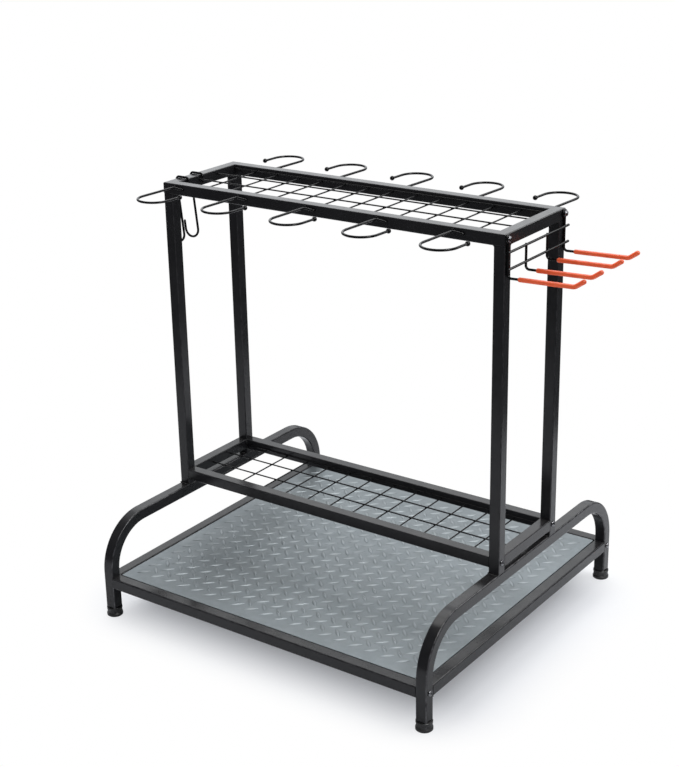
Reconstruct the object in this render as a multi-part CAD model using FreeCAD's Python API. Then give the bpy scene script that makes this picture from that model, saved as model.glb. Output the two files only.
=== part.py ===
import FreeCAD, Part
import math
import os

# Freestanding garden tool rack, in millimetres.
# +Z is up and z = 0 is the floor. The front of the rack faces -Y.
# The origin is on the floor, in the middle of everything the rack reaches,
# so the frame stands a little to the left of it and the side hooks to the right.

Vector = FreeCAD.Vector

# Outside sizes
length_over_feet = 670.6
depth_over_feet = 622.3
rack_height = 731.5
top_frame_depth = 188.0

# Base: two bent arches of square tube on plastic feet
base_tube = 20.0
base_wall = 1.2
base_corner = 2.6
arch_height = 175.0
arch_bend_radius = 80.0
foot_diameter = 28.0
foot_height = 16.0
foot_floor = 5.0
foot_groove = 1.1
foot_edge = 1.0
foot_clearance = 0.1

# Tray between the arches
tray_top_height = 75.5
panel_thickness = 1.2
panel_skirt = 8.0
panel_gap = 1.2
panel_recess = 0.8
panel_corner = 3.0
ledge_width = 14.0
ledge_thickness = 2.0
cross_bar_width = 15.0
cross_bar_count = 3

# Posts and the two rail frames
frame_tube = 19.0
frame_wall = 1.0
frame_corner = 1.6
lower_frame_gap = 9.5
pad_thickness = 1.5
pad_lip = 2.5
spigot_height = 24.0
top_peg_length = 22.0
fit_clearance = 0.1

# Wire mesh in both frames
mesh_wire = 2.5
mesh_pitch = 48.0
top_mesh_drop = 7.5
lower_mesh_drop = 11.0

# Tool loops on the long sides of the top frame
loop_wire = 4.0
loop_first = 25.3
loop_spacing = 137.3
loop_drop = 5.6
loop_reach = 76.0
loop_lean = 3.0
loop_knee = 8.0
loop_radius = 29.0
loop_end = 27.5
loop_ball = 8.0
loop_peg = 12.0
loop_collar = 8.0
loop_collar_thickness = 2.0
loop_prong_offset = 18.0
loop_prong_drop = 2.0
loop_prong_bend = 3.0
loop_face_gap = 0.3
loop_hole_clearance = 0.3

# S-hooks on the left end rail
s_wire = 4.0
s_front_inset = 39.0
s_back_inset = 76.2
s_inner_gap = 1.5
s_outer_gap = 2.8
s_top_gap = 0.3
s_inner_bend = 5.0
s_outer_bend = 6.0
s_short_leg = 15.0
s_drop = 114.4
s_slant = 11.0
s_cup_radius = 14.2
s_tip_height = 28.3

# Wire rack with four dipped hooks on the right end
side_wire = 4.0
side_bar_drops = (26.5, 52.5)
side_bar_overhang = 4.0
side_hook_drop = 67.0
side_end_inset = 6.0
side_inner_spread = 33.0
side_bend = 6.0
side_bare = 18.0
side_prong = 110.0
side_rise = 4.0
side_tip_out = 17.0
side_tip_up = 12.0
side_tip_bend = 12.0
eyelet_radius = 4.75
eyelet_drop = 7.5
sleeve_diameter = 7.6
insert_diameter = 7.0
insert_length = 9.0

# Screws and the threaded plugs that they bite into
screw_diameter = 5.0
screw_head = 9.6
screw_head_height = 3.0
screw_rim = 0.9
screw_clearance = 0.2
screw_bite = 12.0
plug_length = 16.0
thread_clearance = 0.05

# Places worked out from the sizes above
foot_x = length_over_feet / 2 - foot_diameter / 2
foot_y = depth_over_feet / 2 - foot_diameter / 2
side_x = foot_x + base_tube / 2
base_inner_x = foot_x - base_tube / 2
base_inner_y = foot_y - base_tube / 2
post_x = side_x - frame_tube / 2
post_y = top_frame_depth / 2 - frame_tube / 2
frame_inner_x = side_x - frame_tube
frame_inner_y = top_frame_depth / 2 - frame_tube
post_bottom = arch_height + pad_thickness
post_top = rack_height - frame_tube
lower_rail_z = arch_height + lower_frame_gap + frame_tube / 2
lower_rail_top = lower_rail_z + frame_tube / 2
top_rail_z = rack_height - frame_tube / 2
tray_rail_z = tray_top_height - base_tube / 2
panel_top = tray_top_height - panel_recess
ledge_top = panel_top - panel_skirt
loop_z = rack_height - loop_drop
loop_room = 2 * side_x - loop_first - 2 * loop_radius - loop_ball / 2
loop_count = 1 + math.floor(loop_room / loop_spacing)
loop_places = [-side_x + loop_first + number * loop_spacing for number in range(loop_count)]
eyelet_z = rack_height - eyelet_drop
side_wire_x = side_x + side_wire / 2
side_bar_x = side_wire_x + side_wire
side_hook_z = rack_height - side_hook_drop
side_outer_spread = top_frame_depth / 2 - side_end_inset

# Outline of an S-hook in the XZ plane, as it hangs over the left end rail
s_top_z = rack_height + s_top_gap + s_wire / 2
s_outer_x = -(side_x + s_outer_gap + s_wire / 2)
s_inner_x = -(frame_inner_x - s_inner_gap - s_wire / 2)
s_stem_start = Vector(s_outer_x, 0, s_top_z)
s_stem_end = Vector(s_outer_x + s_slant, 0, s_top_z - s_drop + s_cup_radius)
s_stem = (s_stem_end - s_stem_start).normalize()
s_across = Vector(s_stem.z, 0, -s_stem.x)
s_rising = s_stem_end + s_across * (2 * s_cup_radius)
s_tip = s_rising - s_stem * (s_tip_height - s_cup_radius)

# The frame is set back along X so that the whole rack is centred on the origin
side_tip_length = math.hypot(side_tip_out, side_tip_up)
sleeve_end_x = side_wire_x + side_prong + side_tip_out * (1 - sleeve_diameter / 2 / side_tip_length)
left_reach = max(foot_x + foot_diameter / 2, -s_tip.x + s_wire / 2)
right_reach = sleeve_end_x + sleeve_diameter / 2
shift_x = (left_reach - right_reach) / 2


def export(name, solids):
    """Moves a piece into the rack's own frame and writes it as one sub-part."""
    solids = solids if isinstance(solids, list) else [solids]
    moved = []
    for solid in solids:
        copy = solid.copy()
        copy.translate(Vector(shift_x, 0, 0))
        moved.append(copy)
    shape = moved[0] if len(moved) == 1 else Part.makeCompound(moved)
    shape.exportStep("parts/" + name + ".step")


def square_wire(width, corner):
    """A closed square outline with round corners, in the XY plane about the origin."""
    half = width / 2
    corner = max(0.2, min(corner, half * 0.9))
    flat = half - corner
    slant = corner * math.sqrt(0.5)
    edges = []
    for quarter in range(4):
        turn = math.radians(90 * quarter)

        def at(x, y):
            return Vector(x * math.cos(turn) - y * math.sin(turn),
                          x * math.sin(turn) + y * math.cos(turn), 0)

        edges.append(Part.LineSegment(at(half, -flat), at(half, flat)).toShape())
        middle = at(flat + slant, flat + slant)
        edges.append(Part.Arc(at(half, flat), middle, at(flat, half)).toShape())
    return Part.Wire(edges)


def square_tube(width, wall, corner, length):
    """A hollow square tube that stands on the XY plane."""
    outer = Part.Face(square_wire(width, corner)).extrude(Vector(0, 0, length))
    inner = Part.Face(square_wire(width - 2 * wall, corner - wall)).extrude(Vector(0, 0, length))
    return outer.cut(inner)


def laid_along(shape, axis):
    """Turns a piece that stands along Z to lie along X or Y."""
    if axis == "x":
        shape.rotate(Vector(0, 0, 0), Vector(0, 1, 0), 90)
    if axis == "y":
        shape.rotate(Vector(0, 0, 0), Vector(1, 0, 0), -90)
    return shape


def rail_along_x(half_length, y, z, width, wall, corner):
    """A tube along X, centred on the rack's middle plane."""
    rail = laid_along(square_tube(width, wall, corner, 2 * half_length), "x")
    rail.translate(Vector(-half_length, y, z))
    return rail


def rail_along_y(x, half_length, z, width, wall, corner):
    """A tube along Y, centred on the rack's middle plane."""
    rail = laid_along(square_tube(width, wall, corner, 2 * half_length), "y")
    rail.translate(Vector(x, -half_length, z))
    return rail


def rod(start, direction, length, diameter):
    """A round bar."""
    return Part.makeCylinder(diameter / 2, length, start, direction)


def route(points, radii):
    """A path of straight runs joined by tangent arcs, one radius for each inner point."""
    edges = []
    start = points[0]
    for index in range(1, len(points) - 1):
        before = (points[index - 1] - points[index]).normalize()
        after = (points[index + 1] - points[index]).normalize()
        half_angle = before.getAngle(after) / 2
        setback = radii[index - 1] / math.tan(half_angle)
        arc_start = points[index] + before * setback
        arc_end = points[index] + after * setback
        bisector = (before + after).normalize()
        centre = points[index] + bisector * (radii[index - 1] / math.sin(half_angle))
        arc_middle = centre - bisector * radii[index - 1]
        if (arc_start - start).Length > 1e-4:
            edges.append(Part.LineSegment(start, arc_start).toShape())
        edges.append(Part.Arc(arc_start, arc_middle, arc_end).toShape())
        start = arc_end
    if (points[-1] - start).Length > 1e-4:
        edges.append(Part.LineSegment(start, points[-1]).toShape())
    return edges


def wire_along(edges, diameter):
    """A round wire bent along a path."""
    path = Part.Wire(edges)
    first = path.OrderedEdges[0]
    start = first.valueAt(first.FirstParameter)
    tangent = first.tangentAt(first.FirstParameter)
    section = Part.Wire(Part.makeCircle(diameter / 2, start, tangent))
    return path.makePipeShell([section], True, False)


def mirrored(shape, across_x=False, across_y=False):
    """A copy turned over to the other side of the rack."""
    copy = shape
    if across_x:
        copy = copy.mirror(Vector(0, 0, 0), Vector(1, 0, 0))
    if across_y:
        copy = copy.mirror(Vector(0, 0, 0), Vector(0, 1, 0))
    return copy


def bores_along_x(x, y, z, depth, diameter):
    """A cutter for a screw hole that runs inwards from the right side face."""
    return rod(Vector(x + 1, y, z), Vector(-1, 0, 0), depth + 1, diameter)


def right_arch():
    """A leg, a bend, a level run, a bend and a leg, from one length of square tube."""
    run_z = arch_height - base_tube / 2
    corners = [Vector(foot_x, -foot_y, foot_floor),
               Vector(foot_x, -foot_y, run_z),
               Vector(foot_x, foot_y, run_z),
               Vector(foot_x, foot_y, foot_floor)]
    path = Part.Wire(route(corners, [arch_bend_radius, arch_bend_radius]))
    skins = []
    for width, corner in ((base_tube, base_corner), (base_tube - 2 * base_wall, base_corner - base_wall)):
        section = square_wire(width, corner)
        section.translate(corners[0])
        skins.append(path.makePipeShell([section], True, False))
    arch = skins[0].cut(skins[1])
    for side in (-1, 1):
        hole = bores_along_x(side_x, side * foot_y, tray_rail_z, base_tube,
                             screw_diameter + 2 * screw_clearance)
        arch = arch.cut(hole)
    return arch


def foot(x, y):
    """A flared plastic cap with two rings and a groove, pushed onto the end of a leg."""
    radius = foot_diameter / 2
    neck = radius - foot_groove
    outline = [(0, 0),
               (radius - foot_edge, 0),
               (radius, foot_edge),
               (radius, foot_height * 0.3),
               (neck, foot_height * 0.42),
               (neck, foot_height * 0.7),
               (radius - foot_edge / 2, foot_height * 0.8),
               (radius - foot_edge / 2, foot_height - foot_edge / 2),
               (radius - foot_edge, foot_height),
               (0, foot_height)]
    points = [Vector(r, 0, z) for r, z in outline]
    face = Part.Face(Part.makePolygon(points + [points[0]]))
    body = face.revolve(Vector(0, 0, 0), Vector(0, 0, 1), 360)
    socket_width = base_tube + 2 * foot_clearance
    socket = Part.Face(square_wire(socket_width, base_corner + foot_clearance))
    socket = socket.extrude(Vector(0, 0, foot_height))
    socket.translate(Vector(0, 0, foot_floor))
    body = body.cut(socket)
    body.translate(Vector(x, y, 0))
    return body


def tray_panel():
    """A sheet with its four edges turned down, dropped in between the tray rails."""
    half_x = base_inner_x - panel_gap
    half_y = base_inner_y - panel_gap
    skirt_bottom = ledge_top
    outer = Part.makeBox(2 * half_x, 2 * half_y, panel_top - skirt_bottom,
                         Vector(-half_x, -half_y, skirt_bottom))
    upright = [edge for edge in outer.Edges
               if abs(edge.Vertexes[0].Z - edge.Vertexes[1].Z) > panel_thickness]
    outer = outer.makeFillet(panel_corner, upright)
    rim = [edge for edge in outer.Edges if edge.BoundBox.ZMin > panel_top - 0.01]
    outer = outer.makeFillet(panel_thickness * 0.8, rim)
    in_x = half_x - panel_thickness
    in_y = half_y - panel_thickness
    inner = Part.makeBox(2 * in_x, 2 * in_y, panel_top - panel_thickness - skirt_bottom,
                         Vector(-in_x, -in_y, skirt_bottom))
    upright = [edge for edge in inner.Edges
               if abs(edge.Vertexes[0].Z - edge.Vertexes[1].Z) > panel_thickness]
    inner = inner.makeFillet(panel_corner - panel_thickness * 0.9, upright)
    return outer.cut(inner)


def tray_ledges():
    """Flat strips along the inside of the four tray rails, which carry the panel."""
    bottom = ledge_top - ledge_thickness
    long_strip = Part.makeBox(2 * base_inner_x, ledge_width, ledge_thickness,
                              Vector(-base_inner_x, -base_inner_y, bottom))
    side_half = base_inner_y - ledge_width
    side_strip = Part.makeBox(ledge_width, 2 * side_half, ledge_thickness,
                              Vector(-base_inner_x, -side_half, bottom))
    return [long_strip, mirrored(long_strip, across_y=True),
            side_strip, mirrored(side_strip, across_x=True)]


def tray_cross_bars():
    """Flat bars from the front ledge to the back ledge that hold up the sheet."""
    bars = []
    half_y = base_inner_y - panel_gap - panel_thickness - 1
    height = panel_top - panel_thickness - ledge_top
    pitch = 2 * base_inner_x / (cross_bar_count + 1)
    for index in range(cross_bar_count):
        x = -base_inner_x + pitch * (index + 1)
        bars.append(Part.makeBox(cross_bar_width, 2 * half_y, height,
                                 Vector(x - cross_bar_width / 2, -half_y, ledge_top)))
    return bars


def prism(plan, bottom, height):
    """An upright block with a polygon for its plan."""
    points = [Vector(x, y, bottom) for x, y in plan]
    return Part.Face(Part.makePolygon(points + [points[0]])).extrude(Vector(0, 0, height))


def top_front_rail():
    """A long rail with mitred ends and a pair of holes for the pegs of each loop."""
    rail = rail_along_x(side_x, -post_y, top_rail_z, frame_tube, frame_wall, frame_corner)
    outer_x = side_x + 1
    outer_y = top_frame_depth / 2 + 1
    inner_x = frame_inner_x - 1
    inner_y = frame_inner_y - 1
    plan = [(-outer_x, -outer_y), (outer_x, -outer_y), (inner_x, -inner_y), (-inner_x, -inner_y)]
    rail = rail.common(prism(plan, post_top - 1, frame_tube + 2))
    hole = loop_wire + 2 * loop_hole_clearance
    face_y = -top_frame_depth / 2
    for x in loop_places:
        for offset, drop in ((0, 0), (loop_prong_offset, loop_prong_drop)):
            start = Vector(x + offset, face_y - 1, loop_z - drop)
            rail = rail.cut(rod(start, Vector(0, 1, 0), frame_wall + 2, hole))
    return rail


def top_right_rail():
    """A short rail with mitred ends."""
    rail = rail_along_y(post_x, top_frame_depth / 2, top_rail_z, frame_tube, frame_wall, frame_corner)
    outer_x = side_x + 1
    outer_y = top_frame_depth / 2 + 1
    inner_x = frame_inner_x - 1
    inner_y = frame_inner_y - 1
    plan = [(outer_x, -outer_y), (outer_x, outer_y), (inner_x, inner_y), (inner_x, -inner_y)]
    return rail.common(prism(plan, post_top - 1, frame_tube + 2))


def right_front_post():
    """A square tube from its pad on the arch up to the underside of the top frame."""
    post = square_tube(frame_tube, frame_wall, frame_corner, post_top - post_bottom)
    post.translate(Vector(post_x, -post_y, post_bottom))
    hole = bores_along_x(side_x, -post_y, lower_rail_z, frame_tube, screw_diameter + 2 * screw_clearance)
    return post.cut(hole)


def right_front_spigot():
    """A pad welded on the arch, with a square peg that the post slides over."""
    pad = Part.makeBox(frame_tube, frame_tube + 2 * pad_lip, pad_thickness,
                       Vector(frame_inner_x, -post_y - frame_tube / 2 - pad_lip, arch_height))
    width = frame_tube - 2 * frame_wall - 2 * fit_clearance
    peg = Part.Face(square_wire(width, frame_corner - frame_wall)).extrude(Vector(0, 0, spigot_height))
    peg.translate(Vector(post_x, -post_y, arch_height + pad_thickness))
    spigot = pad.fuse(peg)
    hole = bores_along_x(side_x, -post_y, lower_rail_z, frame_tube, screw_diameter + 2 * screw_clearance)
    return spigot.cut(hole)


def right_front_peg():
    """A square peg welded under the corner of the top frame, which fits in the post."""
    width = frame_tube - 2 * frame_wall - 2 * fit_clearance
    peg = Part.Face(square_wire(width, frame_corner - frame_wall))
    peg = peg.extrude(Vector(0, 0, -top_peg_length))
    peg.translate(Vector(post_x, -post_y, post_top))
    return peg


def rail_plug(x_end, y, z, width, wall, corner):
    """A threaded block inside the right end of a long rail, for the screw to bite into."""
    outside = width - 2 * wall - 2 * fit_clearance
    plug = Part.Face(square_wire(outside, corner - wall)).extrude(Vector(0, 0, plug_length))
    plug = laid_along(plug, "x")
    plug.translate(Vector(x_end - plug_length, y, z))
    bore = bores_along_x(x_end, y, z, plug_length + 1, screw_diameter + 2 * thread_clearance)
    return plug.cut(bore)


def side_rack_insert(y):
    """A threaded insert in the outer wall of the right end rail."""
    insert = rod(Vector(side_x, y, eyelet_z), Vector(-1, 0, 0), insert_length, insert_diameter)
    bore = bores_along_x(side_x, y, eyelet_z, insert_length + 1, screw_diameter + 2 * thread_clearance)
    return insert.cut(bore)


def screw(x_face, y, z, through, under_head=0.0):
    """A domed screw that enters the rack from its right side."""
    seat = x_face + under_head
    shank = rod(Vector(seat, y, z), Vector(-1, 0, 0), under_head + through + screw_bite, screw_diameter)
    dome = screw_head_height - screw_rim
    ball = (screw_head ** 2 / 4 + dome ** 2) / (2 * dome)
    head = Part.makeCylinder(screw_head / 2, screw_head_height)
    head = head.common(Part.makeSphere(ball, Vector(0, 0, screw_head_height - ball)))
    head = laid_along(head, "x")
    head.translate(Vector(seat, y, z))
    return shank.fuse(head)


def mesh_panel(plane_z):
    """Welded wires in a square grid: long ones along X lie on short ones along Y."""
    columns = max(1, round(2 * frame_inner_x / mesh_pitch))
    column_pitch = 2 * frame_inner_x / columns
    rows = max(1, round((2 * frame_inner_y - mesh_wire) / mesh_pitch))
    row_pitch = (2 * frame_inner_y - mesh_wire) / rows
    wires = []
    for index in range(rows + 1):
        y = (index - rows / 2) * row_pitch
        start = Vector(-frame_inner_x, y, plane_z + mesh_wire / 2)
        wires.append(rod(start, Vector(1, 0, 0), 2 * frame_inner_x, mesh_wire))
    for index in range(1, columns):
        x = -frame_inner_x + index * column_pitch
        start = Vector(x, -frame_inner_y, plane_z - mesh_wire / 2)
        wires.append(rod(start, Vector(0, 1, 0), 2 * frame_inner_y, mesh_wire))
    return wires


def front_loop(x):
    """A plug-in wire loop for one tool: two pegs, a collar, a leaning leg and an open U."""
    lean = math.radians(loop_lean)
    outward = Vector(-math.sin(lean), -math.cos(lean), 0)
    across = Vector(math.cos(lean), -math.sin(lean), 0)
    knee = Vector(0, -loop_knee, 0)
    near = knee + outward * (loop_reach - loop_knee)
    centre = near + across * loop_radius
    middle = centre + outward * loop_radius
    far = centre + across * loop_radius
    end = far - outward * loop_end
    edges = route([Vector(0, loop_peg, 0), knee, near], [loop_knee])
    for start, turned, finish in ((near, outward - across, middle), (middle, outward + across, far)):
        halfway = centre + turned.normalize() * loop_radius
        edges.append(Part.Arc(start, halfway, finish).toShape())
    edges.append(Part.LineSegment(far, end).toShape())
    loop = wire_along(edges, loop_wire)
    ball = Part.makeSphere(loop_ball / 2, end)
    collar = rod(Vector(0, -loop_face_gap, 0), Vector(0, -1, 0), loop_collar_thickness, loop_collar)
    prong_y = -loop_face_gap - loop_prong_bend
    corners = [Vector(0, prong_y, 0),
               Vector(loop_prong_offset, prong_y, -loop_prong_drop),
               Vector(loop_prong_offset, loop_peg, -loop_prong_drop)]
    prong = wire_along(route(corners, [loop_prong_bend]), loop_wire)
    loop = loop.fuse([ball, collar, prong])
    loop.translate(Vector(x, -top_frame_depth / 2, loop_z))
    return loop


def s_hook(y):
    """A flat-topped S-hook over the left end rail: short leg inside, stem and cup outside."""
    corners = [Vector(s_inner_x, 0, s_top_z - s_short_leg),
               Vector(s_inner_x, 0, s_top_z),
               s_stem_start,
               s_stem_end]
    edges = route(corners, [s_inner_bend, s_outer_bend])
    centre = s_stem_end + s_across * s_cup_radius
    bottom = centre + s_stem * s_cup_radius
    falling_middle = centre + (s_stem - s_across).normalize() * s_cup_radius
    rising_middle = centre + (s_stem + s_across).normalize() * s_cup_radius
    edges.append(Part.Arc(s_stem_end, falling_middle, bottom).toShape())
    edges.append(Part.Arc(bottom, rising_middle, s_rising).toShape())
    edges.append(Part.LineSegment(s_rising, s_tip).toShape())
    hook = wire_along(edges, s_wire)
    hook = hook.fuse(Part.makeSphere(s_wire / 2, s_tip))
    hook.translate(Vector(0, y, 0))
    return hook


def side_hook(y, top_z, eyelet):
    """A wire that comes down the side of the rack and turns out into a prong."""
    bottom = Vector(side_wire_x, y, side_hook_z)
    prong_end = Vector(side_wire_x + side_prong, y, side_hook_z + side_rise)
    tip = prong_end + Vector(side_tip_out, 0, side_tip_up)
    start_z = top_z - eyelet_radius if eyelet else top_z
    corners = [Vector(side_wire_x, y, start_z), bottom, prong_end, tip]
    edges = route(corners, [side_bend, side_tip_bend])
    wire = wire_along(edges, side_wire)
    if eyelet:
        ring = Part.makeTorus(eyelet_radius, side_wire / 2, Vector(side_wire_x, y, top_z), Vector(1, 0, 0))
        wire = wire.fuse(ring)
    slope = (prong_end - bottom).normalize()
    sleeve_start = bottom + slope * side_bare
    sleeve_end = tip - (tip - prong_end).normalize() * (sleeve_diameter / 2)
    sleeve_path = route([sleeve_start, prong_end, sleeve_end], [side_tip_bend])
    sleeve = wire_along(sleeve_path, sleeve_diameter)
    sleeve = sleeve.fuse(Part.makeSphere(sleeve_diameter / 2, sleeve_end))
    trimmed = Part.makeBox(4 * sleeve_diameter, 4 * sleeve_diameter, 4 * sleeve_diameter,
                           Vector(-2 * sleeve_diameter, -2 * sleeve_diameter, 0))
    direction = (tip - prong_end).normalize()
    trimmed.rotate(Vector(0, 0, 0), Vector(0, 1, 0), math.degrees(math.acos(direction.z)))
    trimmed.translate(sleeve_end)
    wire = wire.cut(trimmed)
    return wire, sleeve.cut(wire)


def side_rack_bars():
    """Two bars along Y, welded across the outside of the four hook wires."""
    half = side_outer_spread + side_wire / 2 + side_bar_overhang
    return [rod(Vector(side_bar_x, -half, rack_height - drop), Vector(0, 1, 0), 2 * half, side_wire)
            for drop in side_bar_drops]


os.makedirs("parts", exist_ok=True)

# Base
arch = right_arch()
export("right_arch", arch)
export("left_arch", mirrored(arch, across_x=True))
for side_name, sx in (("left", -1), ("right", 1)):
    for end_name, sy in (("front", -1), ("back", 1)):
        export("foot_" + end_name + "_" + side_name, foot(sx * foot_x, sy * foot_y))

# Tray
for end_name, sy in (("front", -1), ("back", 1)):
    rail = rail_along_x(base_inner_x, sy * foot_y, tray_rail_z, base_tube, base_wall, base_corner)
    export("tray_" + end_name + "_rail", rail)
for side_name, sx in (("left", -1), ("right", 1)):
    rail = rail_along_y(sx * foot_x, base_inner_y, tray_rail_z, base_tube, base_wall, base_corner)
    export("tray_" + side_name + "_rail", rail)
export("tray_ledges", tray_ledges())
export("tray_cross_bars", tray_cross_bars())
export("tray_panel", tray_panel())

# Posts
post = right_front_post()
for side_name, flip_x in (("left", True), ("right", False)):
    for end_name, flip_y in (("front", False), ("back", True)):
        export("post_" + end_name + "_" + side_name, mirrored(post, flip_x, flip_y))
corners_of_rack = [(flip_x, flip_y) for flip_x in (True, False) for flip_y in (False, True)]
spigot = right_front_spigot()
peg = right_front_peg()
export("post_spigots", [mirrored(spigot, flip_x, flip_y) for flip_x, flip_y in corners_of_rack])
export("top_pegs", [mirrored(peg, flip_x, flip_y) for flip_x, flip_y in corners_of_rack])

# Lower frame: rails between the posts
for end_name, sy in (("front", -1), ("back", 1)):
    rail = rail_along_x(frame_inner_x, sy * post_y, lower_rail_z, frame_tube, frame_wall, frame_corner)
    export("lower_" + end_name + "_rail", rail)
for side_name, sx in (("left", -1), ("right", 1)):
    rail = rail_along_y(sx * post_x, frame_inner_y, lower_rail_z, frame_tube, frame_wall, frame_corner)
    export("lower_" + side_name + "_rail", rail)
export("lower_mesh", mesh_panel(lower_rail_top - lower_mesh_drop))

# Top frame: four mitred rails over the posts
long_rail = top_front_rail()
turned_rail = long_rail.copy()
turned_rail.rotate(Vector(0, 0, 0), Vector(0, 0, 1), 180)
export("top_front_rail", long_rail)
export("top_back_rail", turned_rail)
short_rail = top_right_rail()
insert_hole = insert_diameter + 2 * fit_clearance
export("top_left_rail", mirrored(short_rail, across_x=True))
for sy in (-1, 1):
    cutter = bores_along_x(side_x, sy * side_outer_spread, eyelet_z, frame_wall + 1, insert_hole)
    short_rail = short_rail.cut(cutter)
export("top_right_rail", short_rail)
export("top_mesh", mesh_panel(rack_height - top_mesh_drop))

# Tool loops: the back row is the front row turned half way round
for number, x in enumerate(loop_places, start=1):
    loop = front_loop(x)
    export("loop_front_" + str(number), loop)
    turned = loop.copy()
    turned.rotate(Vector(0, 0, 0), Vector(0, 0, 1), 180)
    export("loop_back_" + str(loop_count + 1 - number), turned)

# S-hooks
for end_name, inset in (("front", s_front_inset), ("back", s_back_inset)):
    export("s_hook_" + end_name, s_hook(-top_frame_depth / 2 + inset))

# Side rack
places = ((-side_outer_spread, True), (-side_inner_spread, False),
          (side_inner_spread, False), (side_outer_spread, True))
for number, (y, eyelet) in enumerate(places, start=1):
    start_z = eyelet_z if eyelet else rack_height - side_bar_drops[0]
    hook, sleeve = side_hook(y, start_z, eyelet)
    export("side_hook_" + str(number), hook)
    export("hook_sleeve_" + str(number), sleeve)
export("side_rack_bars", side_rack_bars())

# Screws, and what they bite into
plugs = []
for sy in (-1, 1):
    plugs.append(rail_plug(base_inner_x, sy * foot_y, tray_rail_z, base_tube, base_wall, base_corner))
    plugs.append(rail_plug(frame_inner_x, sy * post_y, lower_rail_z, frame_tube, frame_wall, frame_corner))
export("rail_plugs", plugs + [mirrored(plug, across_x=True) for plug in plugs])
leg_screws = [screw(side_x, sy * foot_y, tray_rail_z, base_tube) for sy in (-1, 1)]
export("leg_screws", leg_screws + [mirrored(one, across_x=True) for one in leg_screws])
post_screws = [screw(side_x, sy * post_y, lower_rail_z, frame_tube) for sy in (-1, 1)]
export("post_screws", post_screws + [mirrored(one, across_x=True) for one in post_screws])
export("side_rack_inserts", [side_rack_insert(sy * side_outer_spread) for sy in (-1, 1)])
side_screws = [screw(side_x, sy * side_outer_spread, eyelet_z, frame_wall, side_wire) for sy in (-1, 1)]
export("side_rack_screws", side_screws)
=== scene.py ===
# %% [markdown]
# # A freestanding rack for garden tools
# The rack is a welded and bolted frame of black square tube. A tray of tread
# plate sits between two bent legs, two frames with wire mesh hold the handles
# upright, and wire loops, S-hooks and a small side rack take the rest.
# The CAD model gives every tube, foot and hook its place. This script dresses
# it: finishes for all of it, and new meshes for what repeats, such as the lugs
# of the plate, the welded wires, the loops, the dipped sleeves and the screws.

# %% Load the CAD model
import math

import bmesh
import bpy
from mathutils import Matrix, Vector


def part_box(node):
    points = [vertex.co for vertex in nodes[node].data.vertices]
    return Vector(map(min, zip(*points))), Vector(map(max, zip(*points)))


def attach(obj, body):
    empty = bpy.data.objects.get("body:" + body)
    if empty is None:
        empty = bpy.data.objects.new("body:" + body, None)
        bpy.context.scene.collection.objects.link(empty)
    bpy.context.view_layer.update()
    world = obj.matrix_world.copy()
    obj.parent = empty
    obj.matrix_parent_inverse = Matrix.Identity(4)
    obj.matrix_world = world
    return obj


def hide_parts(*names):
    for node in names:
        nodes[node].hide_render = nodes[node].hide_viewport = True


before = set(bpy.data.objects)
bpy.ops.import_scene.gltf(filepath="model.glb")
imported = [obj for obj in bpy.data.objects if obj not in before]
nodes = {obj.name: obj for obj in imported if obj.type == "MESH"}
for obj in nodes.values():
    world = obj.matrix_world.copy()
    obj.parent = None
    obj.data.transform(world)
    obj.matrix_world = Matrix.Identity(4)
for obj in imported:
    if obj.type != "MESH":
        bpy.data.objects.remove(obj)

scene = bpy.context.scene
MM = 0.001
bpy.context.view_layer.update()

# %% [markdown]
# ## Where things are
# The script reads the places of the main parts from the CAD nodes' own boxes,
# so that nothing it adds can miss what carries it. `rack_x` is the middle of
# the frame: the frame stands left of the origin because the side rack reaches
# out to the right.

# %% Places
arch_low, arch_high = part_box("left_arch")[0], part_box("right_arch")[1]
rack_x = (arch_low.x + arch_high.x) / 2
side_x = arch_high.x - rack_x
plate_low, plate_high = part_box("tray_panel")
front_rail_low, front_rail_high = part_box("top_front_rail")
rail_face_y = -front_rail_low.y
rack_top = front_rail_high.z
tube = front_rail_high.z - front_rail_low.z
inner_x = side_x - tube
inner_y = rail_face_y - tube
print(f"frame centre {rack_x:.4f}, half length {side_x:.4f}, top {rack_top:.4f}")

# %% [markdown]
# ## Small helpers for node trees
# Geometry Nodes and shaders are both node trees, so one helper adds a node
# and fills its inputs, either with a number or with another node's output.
# A second one opens a tree with named inputs and outputs, and the others give
# arithmetic, a change of range and a point's place in one line each. That
# makes the recipes below read like recipes.

# %% Node helpers
def place(tree, kind, inputs=None, **settings):
    """Adds a node. inputs maps a socket's name or number to a value or an output."""
    node = tree.nodes.new(kind)
    for key, value in settings.items():
        setattr(node, key, value)
    for key, value in (inputs or {}).items():
        socket = node.inputs[key]
        if isinstance(value, bpy.types.NodeSocket):
            tree.links.new(value, socket)
        else:
            socket.default_value = value
    return node


def open_tree(name, kind, inputs, outputs):
    """A node group with named inputs, as (tree, its input sockets by name, its output node)."""
    tree = bpy.data.node_groups.new(name, kind)
    for label, socket, value in inputs:
        made = tree.interface.new_socket(name=label, in_out="INPUT", socket_type=socket)
        if value is not None:
            made.default_value = value
    for label, socket in outputs:
        tree.interface.new_socket(name=label, in_out="OUTPUT", socket_type=socket)
    source = tree.nodes.new("NodeGroupInput")
    return tree, source.outputs, tree.nodes.new("NodeGroupOutput")


def sums(tree, kind):
    """A short way to write arithmetic in a tree: calc('MULTIPLY', a, b)."""
    def calc(operation, *values, clamp=False):
        inputs = {number: value for number, value in enumerate(values)}
        return place(tree, kind, inputs, operation=operation, use_clamp=clamp).outputs[0]
    return calc


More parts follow.
